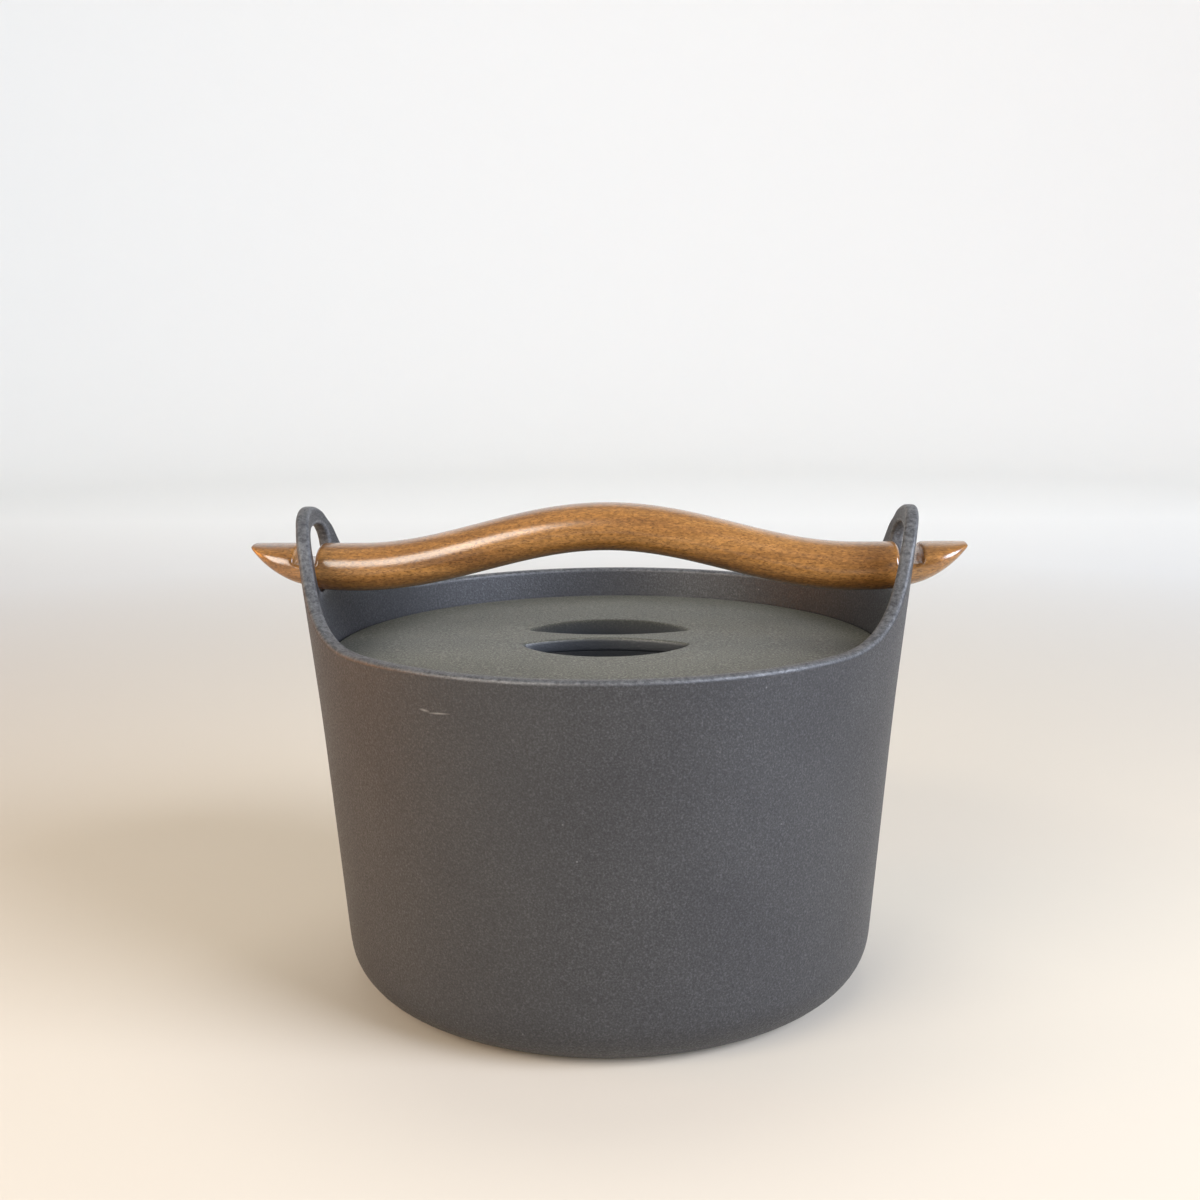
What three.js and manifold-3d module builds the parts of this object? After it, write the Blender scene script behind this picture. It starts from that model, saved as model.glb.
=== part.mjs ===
// Round cast iron casserole pot with a set-in lid and a loose bow handle of wood.
// The thin wall tapers outwards and rises on the left and right into two pierced ears.
// The lid lies below the rim on an inner ledge, and a waisted bar bridges the bowl in its middle.
// The handle passes through both ears, rests in their holes, and is lifted until its notches
// close on the arches of the ears.
// Millimetres, +Z up. The origin is the middle of the flat base, and the handle runs along X.

import * as THREE from 'three';
import { mergeVertices } from 'three/addons/utils/BufferGeometryUtils.js';
import Module from 'manifold-3d';

// Pot wall and floor
const RIM_RADIUS = 102.5; // outside of the wall at the rim
const RIM_HEIGHT = 127.5;
const WALL = 4.6;
const FLOOR = 5.5;
const BASE_CORNER = 18; // outer rounding between floor and wall
const LOWER_TAPER = 0.084; // outward lean of the wall per mm of height
const UPPER_TAPER = 0.108; // the same above the flare
const FLARE_DEPTH = 29.5; // the lean changes this far below the rim
const FLARE_BLEND = 14; // half the height of the soft bend there

// Ears
const EAR_RISE = 38; // top of an ear above the rim
const EAR_RADIUS = 24.5; // round top of an ear
const FLANK_RADIUS = 55; // hollow sweep from the rim up to the ear
const ARCH = 6.5; // iron over the ear's hole
const HOLE_PLAY = 2.9; // room beside the handle in the hole, each side
const HOLE_CROWN = 9.5; // height of the hole's rounded top, from its widest level

// Lid and its seat
const LID_RECESS = 10.6; // rim to the top of the lid's edge
const LID_THICKNESS = 5;
const LID_DOME = 2.8; // rise of the lid's middle over its edge
const LID_GAP = 0.8; // gap between lid and wall
const LEDGE_WIDTH = 3;
const LEDGE_LIP = 2.5; // upright face under the ledge
const BOWL_RADIUS = 31.5; // bowl in the lid's middle, at its mouth
const BOWL_DEPTH = 17;
const BOWL_WALL = 4.5;
const BAR_THICKNESS = 4.8;
const BAR_WAIST = 6.4; // width of the bar at its middle
const BAR_FLARE = 8.8; // how much each side of the bar spreads towards the mouth's edge

// Handle
const HANDLE_HEIGHT = 16.5;
const HANDLE_WIDTH = 22.4;
const BOW_RISE = 14;
const SHOULDER_RUN = 14; // straight stretch between the bow and the notch
const NOTCH_DEPTH = 6;
const NOTCH_PLAY = 0.5; // room for the arch in the notch, each side
const BEAK_LENGTH = 16.4; // tip beyond the notch
const BEAK_NOSE = 1.6; // height of the blunt nose
const BEAK_NOSE_WIDTH = 8;
const HANDLE_LIFT = 9.8; // travel up to the carrying position

// Exponents of the ovals of the handle and of the ears' holes: 2 is an ellipse, more is squarer
const HANDLE_SQUARENESS = 2.3;
const HOLE_SQUARENESS = 2.8;

// Enamel inside the pot, and the running gap between pieces
const COAT = 0.8;
const FIT = 0.3;

// Facets
const AROUND = 72;
const ARC_STEPS = 3; // half the chords of a turned arc
const OUTLINE_STEPS = 8; // half the chords of an arc in an outline
const HANDLE_AROUND = 24;
const BOW_STEPS = 13;
const BEAK_STEPS = 10;
const BEYOND = 10; // how far a cutting solid runs past what it cuts

// Levels worked out from the sizes above
const earTop = RIM_HEIGHT + EAR_RISE;
const holeTop = earTop - ARCH;
const flareMiddle = RIM_HEIGHT - FLARE_DEPTH;
const flareFoot = flareMiddle - FLARE_BLEND;
const flareHead = flareMiddle + FLARE_BLEND;
const lidEdgeTop = RIM_HEIGHT - LID_RECESS;
const lidEdgeBottom = lidEdgeTop - LID_THICKNESS;
const ledgeTop = lidEdgeBottom - FIT;

// The wall's two straight stretches meet at the flare and are eased over FLARE_BLEND.
const flareRadius = RIM_RADIUS - UPPER_TAPER * FLARE_DEPTH;
const baseRadius = flareRadius - LOWER_TAPER * flareMiddle;

function outerRadius(z) {
  const above = THREE.MathUtils.clamp(z - flareFoot, 0, 2 * FLARE_BLEND);
  const eased = (above * above) / (4 * FLARE_BLEND) + Math.max(z - flareHead, 0);
  return baseRadius + LOWER_TAPER * z + (UPPER_TAPER - LOWER_TAPER) * eased;
}

function innerRadius(z) {
  return outerRadius(z) - WALL;
}

// Place on a squared oval of half size 1, from the cosine or sine of the angle there.
function squared(share, squareness) {
  return Math.sign(share) * Math.abs(share) ** (2 / squareness);
}

// Height of the hole's oval over the given place across it.
function ovalHeight(share) {
  return (1 - Math.abs(share) ** HOLE_SQUARENESS) ** (1 / HOLE_SQUARENESS);
}

// Radius of the arc over a chord of the given half length and height.
function arcRadius(halfChord, height) {
  return (halfChord * halfChord + height * height) / (2 * height);
}

const ledgeRadius = innerRadius(ledgeTop) - LEDGE_WIDTH;
const ledgeFoot = ledgeTop - LEDGE_LIP;
const halfWidth = HANDLE_WIDTH / 2;
const holeHalf = halfWidth + HOLE_PLAY;
const holeMiddle = holeTop - HOLE_CROWN;

// Lifted, the floor of the notch meets the arch at the handle's two sides.
const archContact = holeMiddle + HOLE_CROWN * ovalHeight(halfWidth / holeHalf);
const notchFloor = archContact - FIT - HANDLE_LIFT;
const shoulderTop = notchFloor + NOTCH_DEPTH;

// The notch spans the arch from the wall's inside, at the handle's full width, to its outside.
const archInside = Math.sqrt(innerRadius(archContact) ** 2 - halfWidth ** 2);
const notchInner = archInside - NOTCH_PLAY;
const notchOuter = outerRadius(earTop) + NOTCH_PLAY;
const bowReach = notchInner - SHOULDER_RUN;
const handleReach = notchOuter + BEAK_LENGTH;

const wasm = await Module();
wasm.setup();

function toSolid(geometry) {
  geometry.deleteAttribute('normal');
  geometry.deleteAttribute('uv');
  const merged = mergeVertices(geometry);
  const corners = merged.index.array;
  const kept = [];
  for (let i = 0; i < corners.length; i += 3) {
    const [a, b, c] = corners.slice(i, i + 3);
    if (a !== b && b !== c && c !== a) {
      kept.push(a, b, c);
    }
  }
  const mesh = new wasm.Mesh({
    numProp: 3,
    vertProperties: merged.attributes.position.array,
    triVerts: Uint32Array.from(kept),
  });
  return new wasm.Manifold(mesh);
}

function toGeometry(solid) {
  const mesh = solid.getMesh();
  const geometry = new THREE.BufferGeometry();
  geometry.setAttribute('position', new THREE.BufferAttribute(mesh.vertProperties, mesh.numProp));
  geometry.setIndex(new THREE.BufferAttribute(mesh.triVerts, 1));
  geometry.computeVertexNormals();
  return geometry;
}

// A profile of radius and height, turned about the upright axis.
function turned(points) {
  return toSolid(new THREE.LatheGeometry(points, AROUND).rotateX(Math.PI / 2));
}

// An outline drawn in Y and Z, carried along X through both ears.
function carriedAlongX(shape) {
  const length = 2 * (outerRadius(earTop) + BEYOND);
  const settings = { depth: length, bevelEnabled: false, curveSegments: OUTLINE_STEPS };
  const geometry = new THREE.ExtrudeGeometry(shape, settings).translate(0, 0, -length / 2);
  const alongY = new THREE.Vector3(0, 1, 0);
  const alongZ = new THREE.Vector3(0, 0, 1);
  const alongX = new THREE.Vector3(1, 0, 0);
  return toSolid(geometry.applyMatrix4(new THREE.Matrix4().makeBasis(alongY, alongZ, alongX)));
}

// Rounding between a level floor and the lower wall, drawn from the floor upwards.
function addCorner(path, radiusAtZero, floor, rounding) {
  const middleHeight = floor + rounding;
  const wallThere = radiusAtZero + LOWER_TAPER * middleHeight;
  const middleRadius = wallThere - rounding * Math.hypot(1, LOWER_TAPER);
  path.lineTo(middleRadius, floor);
  path.absarc(middleRadius, middleHeight, rounding, -Math.PI / 2, -Math.atan(LOWER_TAPER), false);
}

// Inside of the pot from the middle of its floor up to the foot of the ledge.
function hollowPoints(inset) {
  const path = new THREE.Path();
  path.moveTo(0, FLOOR + inset);
  addCorner(path, baseRadius - WALL - inset, FLOOR + inset, BASE_CORNER - WALL - inset);
  path.lineTo(innerRadius(flareFoot) - inset, flareFoot);
  path.lineTo(ledgeRadius - inset, ledgeFoot);
  return path.getPoints(ARC_STEPS);
}

// Outline of the rim in Y and Z: level, swept up along both flanks and round over the ears.
function rimOutline() {
  const earMiddle = earTop - EAR_RADIUS;
  const flankMiddle = RIM_HEIGHT + FLANK_RADIUS;
  const rise = flankMiddle - earMiddle;
  const spread = Math.sqrt((EAR_RADIUS + FLANK_RADIUS) ** 2 - rise ** 2);
  const lean = Math.atan2(rise, spread);
  const side = Math.max(RIM_RADIUS, spread) + BEYOND;
  const shape = new THREE.Shape();
  shape.moveTo(-side, -BEYOND);
  shape.lineTo(side, -BEYOND);
  shape.lineTo(side, RIM_HEIGHT);
  shape.absarc(spread, flankMiddle, FLANK_RADIUS, -Math.PI / 2, lean - Math.PI, true);
  shape.absarc(0, earMiddle, EAR_RADIUS, lean, Math.PI - lean, false);
  shape.absarc(-spread, flankMiddle, FLANK_RADIUS, -lean, -Math.PI / 2, true);
  shape.lineTo(-side, RIM_HEIGHT);
  return shape;
}

// The handle's underside where it crosses the inside of the wall sets the bottom of the hole.
function holeOutline() {
  const seat = handleBottom(innerRadius(shoulderTop - HANDLE_HEIGHT)) - FIT;
  const count = 4 * OUTLINE_STEPS;
  const points = [];
  for (let i = 0; i < count; i += 1) {
    const angle = (2 * Math.PI * i) / count;
    const reach = Math.sin(angle) > 0 ? HOLE_CROWN : holeMiddle - seat;
    const y = holeHalf * squared(Math.cos(angle), HOLE_SQUARENESS);
    const z = holeMiddle + reach * squared(Math.sin(angle), HOLE_SQUARENESS);
    points.push(new THREE.Vector2(y, z));
  }
  return new THREE.Shape(points);
}

function pot() {
  const outside = new THREE.Path();
  outside.moveTo(0, 0);
  addCorner(outside, baseRadius, 0, BASE_CORNER);
  outside.lineTo(outerRadius(flareFoot), flareFoot);
  outside.quadraticCurveTo(flareRadius, flareMiddle, outerRadius(flareHead), flareHead);
  outside.lineTo(outerRadius(earTop), earTop);
  outside.lineTo(innerRadius(earTop), earTop);
  outside.lineTo(innerRadius(ledgeTop), ledgeTop);
  outside.lineTo(ledgeRadius, ledgeTop);
  const profile = outside.getPoints(ARC_STEPS).concat(hollowPoints(0).reverse());
  return turned(profile).intersect(carriedAlongX(rimOutline())).subtract(carriedAlongX(holeOutline()));
}

function enamelLining() {
  return turned(hollowPoints(FIT).concat(hollowPoints(FIT + COAT).reverse()));
}

// Plate of even thickness, domed, with an edge that leans as the wall does.
function lidPlate() {
  const topRadius = innerRadius(lidEdgeTop) - LID_GAP;
  const bottomRadius = innerRadius(lidEdgeBottom) - LID_GAP;
  const crown = lidEdgeTop + LID_DOME;
  const hollow = crown - LID_THICKNESS;
  const path = new THREE.Path();
  path.moveTo(0, hollow);
  path.quadraticCurveTo(bottomRadius / 2, hollow, bottomRadius, lidEdgeBottom);
  path.lineTo(topRadius, lidEdgeTop);
  path.quadraticCurveTo(topRadius / 2, crown, 0, crown);
  return turned(path.getPoints(ARC_STEPS));
}

// Part of a ball below a level, with the given floor and radius.
function ballBelow(level, floor, radius) {
  const middle = floor + radius;
  const path = new THREE.Path();
  path.moveTo(0, floor);
  path.absarc(0, middle, radius, -Math.PI / 2, Math.asin((level - middle) / radius), false);
  path.lineTo(0, level);
  return turned(path.getPoints(ARC_STEPS));
}

// Waisted bar seen from above, drawn past the mouth of the bowl at both ends.
function barSolid(bottom, top) {
  const waist = BAR_WAIST / 2;
  const end = waist + BAR_FLARE;
  const reach = Math.sqrt(BOWL_RADIUS ** 2 - end ** 2);
  const sweep = arcRadius(reach, BAR_FLARE);
  const turn = Math.asin(reach / sweep);
  const shape = new THREE.Shape();
  shape.moveTo(reach + BEYOND, -end);
  shape.lineTo(reach + BEYOND, end);
  shape.absarc(0, waist + sweep, sweep, turn - Math.PI / 2, -turn - Math.PI / 2, true);
  shape.lineTo(-reach - BEYOND, end);
  shape.lineTo(-reach - BEYOND, -end);
  shape.absarc(0, -waist - sweep, sweep, turn + Math.PI / 2, Math.PI / 2 - turn, true);
  const settings = { depth: top - bottom, bevelEnabled: false, curveSegments: OUTLINE_STEPS };
  return toSolid(new THREE.ExtrudeGeometry(shape, settings).translate(0, 0, bottom));
}

function lid() {
  const crown = lidEdgeTop + LID_DOME;
  const bowlFloor = crown - BOWL_DEPTH;
  const bowlRadius = arcRadius(BOWL_RADIUS, BOWL_DEPTH);
  const above = crown + FIT;
  const bulge = ballBelow(crown - LID_THICKNESS / 2, bowlFloor - BOWL_WALL, bowlRadius + BOWL_WALL);
  const bowl = ballBelow(above, bowlFloor, bowlRadius);
  const bar = barSolid(crown - BAR_THICKNESS, above + BEYOND);
  return lidPlate().add(bulge).subtract(bowl.subtract(bar));
}

// Side view of the handle: a cosine wave between the shoulders and level ends.
function bow(x) {
  const share = Math.min(Math.abs(x) / bowReach, 1);
  return (BOW_RISE * (1 + Math.cos(Math.PI * share))) / 2;
}

function bowSlope(x) {
  const share = Math.min(Math.abs(x) / bowReach, 1);
  return (BOW_RISE * Math.PI * Math.sin(Math.PI * share)) / (2 * bowReach);
}

// From full to end between a place along the handle and its tip, ever faster towards the tip.
function thinned(x, from, full, end) {
  const share = THREE.MathUtils.clamp((Math.abs(x) - from) / (handleReach - from), 0, 1);
  return full + (end - full) * share ** 3;
}

function handleTop(x) {
  const middle = shoulderTop - HANDLE_HEIGHT / 2 + bow(x);
  return middle + (HANDLE_HEIGHT / 2) * Math.hypot(1, bowSlope(x));
}

function handleBottom(x) {
  const height = thinned(x, bowReach, HANDLE_HEIGHT, BEAK_NOSE);
  return handleTop(x) - height * Math.hypot(1, bowSlope(x));
}

// Squared oval section of the handle at one place along it.
function handleRing(x) {
  const half = thinned(x, notchOuter, HANDLE_WIDTH, BEAK_NOSE_WIDTH) / 2;
  const middle = (handleTop(x) + handleBottom(x)) / 2;
  const tall = (handleTop(x) - handleBottom(x)) / 2;
  const ring = [];
  for (let i = 0; i < HANDLE_AROUND; i += 1) {
    const angle = (2 * Math.PI * i) / HANDLE_AROUND;
    const y = half * squared(Math.cos(angle), HANDLE_SQUARENESS);
    const z = middle + tall * squared(Math.sin(angle), HANDLE_SQUARENESS);
    ring.push(new THREE.Vector3(x, y, z));
  }
  return ring;
}

// Closed skin over a row of rings that all have the same number of points.
function loft(rings) {
  const count = rings[0].length;
  const points = rings.flat();
  const faces = [];
  for (let r = 0; r + 1 < rings.length; r += 1) {
    for (let i = 0; i < count; i += 1) {
      const a = r * count + i;
      const b = r * count + ((i + 1) % count);
      faces.push(a, b, a + count, b, b + count, a + count);
    }
  }
  const last = (rings.length - 1) * count;
  for (let i = 1; i + 1 < count; i += 1) {
    faces.push(0, i + 1, i, last, last + i, last + i + 1);
  }
  const geometry = new THREE.BufferGeometry().setFromPoints(points);
  geometry.setIndex(faces);
  return toSolid(geometry);
}

function handleStations() {
  const half = [];
  for (let i = 0; i < BOW_STEPS; i += 1) {
    half.push((bowReach * (i + 0.5)) / BOW_STEPS);
  }
  for (let i = 0; i <= BEAK_STEPS; i += 1) {
    half.push(bowReach + (handleReach - bowReach) * Math.sin((Math.PI * i) / (2 * BEAK_STEPS)));
  }
  return half.map((x) => -x).reverse().concat(half);
}

function handle() {
  let bar = loft(handleStations().map(handleRing));
  const tall = HANDLE_HEIGHT + BEYOND;
  for (const side of [-1, 1]) {
    const notch = new THREE.BoxGeometry(notchOuter - notchInner, HANDLE_WIDTH + BEYOND, tall);
    notch.translate((side * (notchInner + notchOuter)) / 2, 0, notchFloor + tall / 2);
    bar = bar.subtract(toSolid(notch));
  }
  return bar;
}

const finishes = {
  pot: { color: '#474543', roughness: 0.72, metalness: 0.25 },
  enamel_lining: { color: '#e8e4da', roughness: 0.2, metalness: 0 },
  lid: { color: '#4a4845', roughness: 0.68, metalness: 0.25 },
  handle: { color: '#8a5428', roughness: 0.3, metalness: 0 },
};

const solids = {
  pot: pot(),
  enamel_lining: enamelLining(),
  lid: lid(),
  handle: handle(),
};

const casserole = new THREE.Group();
for (const [name, solid] of Object.entries(solids)) {
  const piece = new THREE.Mesh(toGeometry(solid), new THREE.MeshStandardMaterial(finishes[name]));
  piece.name = name;
  casserole.add(piece);
}

export default casserole;
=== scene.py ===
# %% [markdown]
# # A cast iron casserole pot with a wooden bow handle
#
# The pot comes apart into three loose pieces: an iron pot whose wall rises into two pierced ears,
# an iron lid that lies inside the rim, and a wooden handle that goes through both ears. A light
# enamel coat lines the pot. This lesson models each piece with bmesh operators, gives it a node
# material, and sets it on the body of the frame that moves it.

# %% Load the frame
import math

import bmesh
import bpy
import numpy as np
from mathutils import Matrix, Vector


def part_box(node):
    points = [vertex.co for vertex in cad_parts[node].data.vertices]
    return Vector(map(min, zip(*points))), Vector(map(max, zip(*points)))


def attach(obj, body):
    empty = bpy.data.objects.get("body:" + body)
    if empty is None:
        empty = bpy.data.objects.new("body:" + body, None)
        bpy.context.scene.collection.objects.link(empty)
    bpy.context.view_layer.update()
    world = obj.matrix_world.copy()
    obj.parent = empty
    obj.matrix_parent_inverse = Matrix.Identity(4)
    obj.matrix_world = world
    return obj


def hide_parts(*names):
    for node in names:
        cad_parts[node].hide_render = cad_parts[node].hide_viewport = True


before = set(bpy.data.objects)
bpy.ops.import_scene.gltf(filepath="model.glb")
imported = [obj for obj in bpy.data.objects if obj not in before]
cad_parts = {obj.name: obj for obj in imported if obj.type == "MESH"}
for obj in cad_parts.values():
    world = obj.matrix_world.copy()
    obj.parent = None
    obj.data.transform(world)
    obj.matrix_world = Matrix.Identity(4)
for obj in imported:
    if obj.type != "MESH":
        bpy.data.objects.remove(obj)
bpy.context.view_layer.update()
MM = 0.001

# %% [markdown]
# ## Tools for every piece
#
# Each piece starts as a bmesh and ends as an object at the origin with its place in its mesh.
# Turned pieces share one helper: a profile of radius and height is drawn as a chain of vertices
# and spun once about the upright axis. A screw modifier could turn it too, but a bmesh can still be
# bent and opened afterwards. Merging the doubles closes the seam and the poles.

# %% Spin a profile, round edges, and finish a piece
SAME_PLACE = 1e-6


def arc(middle_radius, middle_height, radius, start, end, steps):
    """Points of a round stretch of a profile. Angles are in degrees, 0 points outwards."""
    turns = np.radians(np.linspace(start, end, steps + 1))
    return [(middle_radius + radius * math.cos(t), middle_height + radius * math.sin(t)) for t in turns]


def spin_profile(bm, profile, columns):
    """Turn a chain of radius and height points once about the upright axis."""
    chain = [bm.verts.new((radius, 0, height)) for radius, height in profile]
    links = [bm.edges.new(pair) for pair in zip(chain, chain[1:])]
    bmesh.ops.spin(
        bm, geom=chain + links, axis=(0, 0, 1), angle=2 * math.pi, steps=columns, use_merge=True
    )
    bmesh.ops.remove_doubles(bm, verts=bm.verts, dist=SAME_PLACE)


def round_edges(bm, edges, rounding, steps):
    """Bevel edges to a round, and give back the vertices that this makes."""
    return bmesh.ops.bevel(
        bm, geom=edges, affect="EDGES", offset=rounding, segments=steps, profile=0.5, material=-1
    )["verts"]


def mesh_object(name, bm):
    """Make a smooth object of a bmesh."""
    mesh = bpy.data.meshes.new(name)
    bm.to_mesh(mesh)
    bm.free()
    mesh.shade_smooth()
    made = bpy.data.objects.new(name, mesh)
    bpy.context.scene.collection.objects.link(made)
    return made


def finish_piece(name, bm, body, node):
    """Make a piece of a bmesh, set it on its body, hide the CAD part it stands for, and print its size.
    """
    bmesh.ops.recalc_face_normals(bm, faces=bm.faces)
    piece = mesh_object(name, bm)
    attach(piece, body)
    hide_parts(node)
    size = [round(side / MM, 1) for side in piece.dimensions]
    print(name, len(piece.data.polygons), "faces,", size, "mm")
    return piece


def smooth_skin(piece, name):
    """Subdivide a piece once, in the viewport and in the render alike."""
    skin = piece.modifiers.new(name, "SUBSURF")
    skin.levels = skin.render_levels = 1


print("vertices closer than", round(SAME_PLACE / MM, 3), "mm are merged")

# %% [markdown]
# ## The pot: wall and rim
#
# The real pot is one sand casting with an even wall. A cut with a boolean would leave ragged faces
# along the rim, so the wall is spun first with a level rim and its upper rows are then lifted: each
# column of vertices is stretched up to the outline of the rim at its place. The lip keeps its
# rounding all the way round because it is only moved, never cut.

# %% Wall of the pot
RIM_RADIUS = 102.5 * MM
RIM_HEIGHT = 127.5 * MM
WALL = 4.6 * MM
FLOOR = 5.5 * MM
BASE_CORNER = 18 * MM
LOWER_TAPER = 0.084
UPPER_TAPER = 0.108
FLARE_DEPTH = 29.5 * MM
FLARE_BLEND = 14 * MM
FLARE_HEIGHT = RIM_HEIGHT - FLARE_DEPTH
FLARE_FOOT = FLARE_HEIGHT - FLARE_BLEND
BASE_RADIUS = RIM_RADIUS - UPPER_TAPER * FLARE_DEPTH - LOWER_TAPER * FLARE_HEIGHT


def outer_radius(height):
    """Outside of the wall: two straight leans with a soft bend between them."""
    above = min(max(height - FLARE_FOOT, 0), 2 * FLARE_BLEND)
    eased = above ** 2 / (4 * FLARE_BLEND) + max(height - FLARE_FOOT - 2 * FLARE_BLEND, 0)
    return BASE_RADIUS + LOWER_TAPER * height + (UPPER_TAPER - LOWER_TAPER) * eased


def inner_radius(height):
    """Inside of the wall, which is equally thick all the way up."""
    return outer_radius(height) - WALL


print("radius at the base", round(BASE_RADIUS / MM, 1), "and at the rim", round(RIM_RADIUS / MM, 1))

# %% Outline of the rim across the pot
EAR_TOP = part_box("pot")[1].z
EAR_RADIUS = 24.5 * MM
FLANK_RADIUS = 55 * MM
EAR_MIDDLE = EAR_TOP - EAR_RADIUS
FLANK_MIDDLE = RIM_HEIGHT + FLANK_RADIUS
FLANK_START = math.sqrt((EAR_RADIUS + FLANK_RADIUS) ** 2 - (FLANK_MIDDLE - EAR_MIDDLE) ** 2)
EAR_END = FLANK_START * EAR_RADIUS / (EAR_RADIUS + FLANK_RADIUS)


def rim(across):
    """Height and slope of the rim over a place across the pot: round ear, hollow flank, then level."""
    run = abs(across)
    if run <= EAR_END:
        drop = math.sqrt(EAR_RADIUS ** 2 - run ** 2)
        return EAR_MIDDLE + drop, run / drop
    run = max(FLANK_START - run, 0)
    drop = math.sqrt(FLANK_RADIUS ** 2 - run ** 2)
    return FLANK_MIDDLE - drop, run / drop


print("the rim is level beyond", round(FLANK_START / MM, 1), "mm and rises to", round(rim(0)[0] / MM, 1))

# %% [markdown]
# ## The pot: holes in the ears
#
# Each ear has a hole of a squared oval shape for the handle. A boolean could cut it, but would leave
# thin slivers round the hole. So a block of faces is left out of the grid there, and the vertices
# round the block are eased out to the oval. The outer and the inner edge of the hole are then
# bridged and bevelled, as a caster would round the edges of a core hole.

# %% Shape of the hole
COLUMNS = 192
GATHER = 0.25
HOLE_COLUMNS = 7
HOLE_SQUARENESS = 2.8
HOLE_HALF = 14.1 * MM
HOLE_CROWN = 9.5 * MM
ARCH = 6.5 * MM
HOLE_MIDDLE = EAR_TOP - ARCH - HOLE_CROWN
HOLE_SAG = 13 * MM
EASE_END = 1.75
EAR_REACH = outer_radius(HOLE_MIDDLE) - WALL / 2


def gathered(turn):
    """Columns stand closer at the ears, on the X axis, than at the front and back."""
    return turn - GATHER * math.sin(2 * turn)


BLOCK_HALF = EAR_REACH * math.sin(gathered(2 * math.pi * HOLE_COLUMNS / COLUMNS))
BLOCK_SHARE = BLOCK_HALF / HOLE_HALF


def ease_to_hole(across, height):
    """Move a place near the square block so that the block's edge becomes the hole's oval."""
    tall = HOLE_CROWN if height > HOLE_MIDDLE else HOLE_SAG
    side = across / BLOCK_HALF
    rise = (height - HOLE_MIDDLE) / (BLOCK_SHARE * tall)
    away = max(abs(side), abs(rise))
    if not 0 < away < EASE_END:
        return across, height
    share = min(max((EASE_END - away) / (EASE_END - 1), 0), 1)
    share = share * share * (3 - 2 * share)
    side, rise = side / away, rise / away
    norm = (abs(side) ** HOLE_SQUARENESS + abs(rise) ** HOLE_SQUARENESS) ** (1 / HOLE_SQUARENESS)
    grown = 1 / norm - BLOCK_SHARE
    return across + share * grown * side * HOLE_HALF, height + share * grown * rise * tall


print("block of", 2 * HOLE_COLUMNS, "columns,", round(2 * BLOCK_HALF / MM, 1), "mm wide, for the hole")

# %% Rows that the lifted wall keeps
LIP = 1.3 * MM
WARP_FOOT = 114 * MM
BLOCK_BOTTOM = HOLE_MIDDLE - BLOCK_SHARE * HOLE_SAG
BLOCK_TOP = HOLE_MIDDLE + BLOCK_SHARE * HOLE_CROWN


def lip_foot(across):
    """Where the rounding of the lip starts, measured square to the rim."""
    height, slope = rim(across)
    return height - LIP * math.hypot(1, slope)


def kept_rows(across):
    """Heights of four rows at a place: foot of the lift, bottom and top of the block, foot of the lip."""
    share = (lip_foot(across) - WARP_FOOT) / (lip_foot(min(abs(across), BLOCK_HALF)) - WARP_FOOT)
    bottom = WARP_FOOT + (BLOCK_BOTTOM - WARP_FOOT) * share
    top = WARP_FOOT + (BLOCK_TOP - WARP_FOOT) * share
    return WARP_FOOT, bottom, top, lip_foot(across)


LEVEL_ROWS = kept_rows(RIM_RADIUS)
print("rows on the level rim:", [round(row / MM, 1) for row in LEVEL_ROWS])

# %% Profile of the pot
LEDGE_TOP = 111.6 * MM
LEDGE_WIDTH = 3 * MM
LEDGE_LIP = 2.5 * MM
LEDGE_RADIUS = inner_radius(LEDGE_TOP) - LEDGE_WIDTH
LEDGE_FOOT = LEDGE_TOP - LEDGE_LIP
CORNER_STEPS = 8
LIP_STEPS = 3
ROWS_BETWEEN = (7, 8, 3)
WALL_ROWS = 14


def corner(radius_at_zero, floor, rounding):
    """Rounding between a level floor and the lower wall, from the floor upwards."""
    height = floor + rounding
    middle = radius_at_zero + LOWER_TAPER * height - rounding * math.hypot(1, LOWER_TAPER)
    lean = math.degrees(math.atan(LOWER_TAPER))
    return [(middle / 2, floor)] + arc(middle, height, rounding, -90, -lean, CORNER_STEPS)


def hollow(inset):
    """Inside of the pot from the middle of its floor up to the foot of the ledge."""
    floor = FLOOR + inset
    points = [(0, floor)] + corner(BASE_RADIUS - WALL - inset, floor, BASE_CORNER - WALL - inset)
    heights = np.linspace(points[-1][1], FLARE_FOOT, WALL_ROWS // 2)[1:]
    points += [(inner_radius(z) - inset, z) for z in heights]
    return points + [(LEDGE_RADIUS - inset, LEDGE_FOOT)]


def pot_profile():
    """From the middle of the base up the outside, over the lip, and down the inside to the floor."""
    outside = [(0, 0)] + corner(BASE_RADIUS, 0, BASE_CORNER)
    outside += [(outer_radius(z), z) for z in np.linspace(outside[-1][1], WARP_FOOT, WALL_ROWS)[1:]]
    lifted = [WARP_FOOT]
    for low, high, rows in zip(LEVEL_ROWS, LEVEL_ROWS[1:], ROWS_BETWEEN):
        lifted += list(np.linspace(low, high, rows + 1)[1:])
    foot = lifted[-1]
    lip = arc(outer_radius(foot) - LIP, foot, LIP, 0, 90, LIP_STEPS)
    lip += arc(inner_radius(foot) + LIP, foot, LIP, 90, 180, LIP_STEPS)
    outside += [(outer_radius(z), z) for z in lifted[1:-1]] + lip
    inside = [(inner_radius(z), z) for z in reversed(lifted[:-1])]
    ledge = [(inner_radius(LEDGE_TOP), LEDGE_TOP), (LEDGE_RADIUS, LEDGE_TOP)]
    return outside + inside + ledge + hollow(0)[::-1]


print("points in the pot's profile:", len(pot_profile()))

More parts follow.
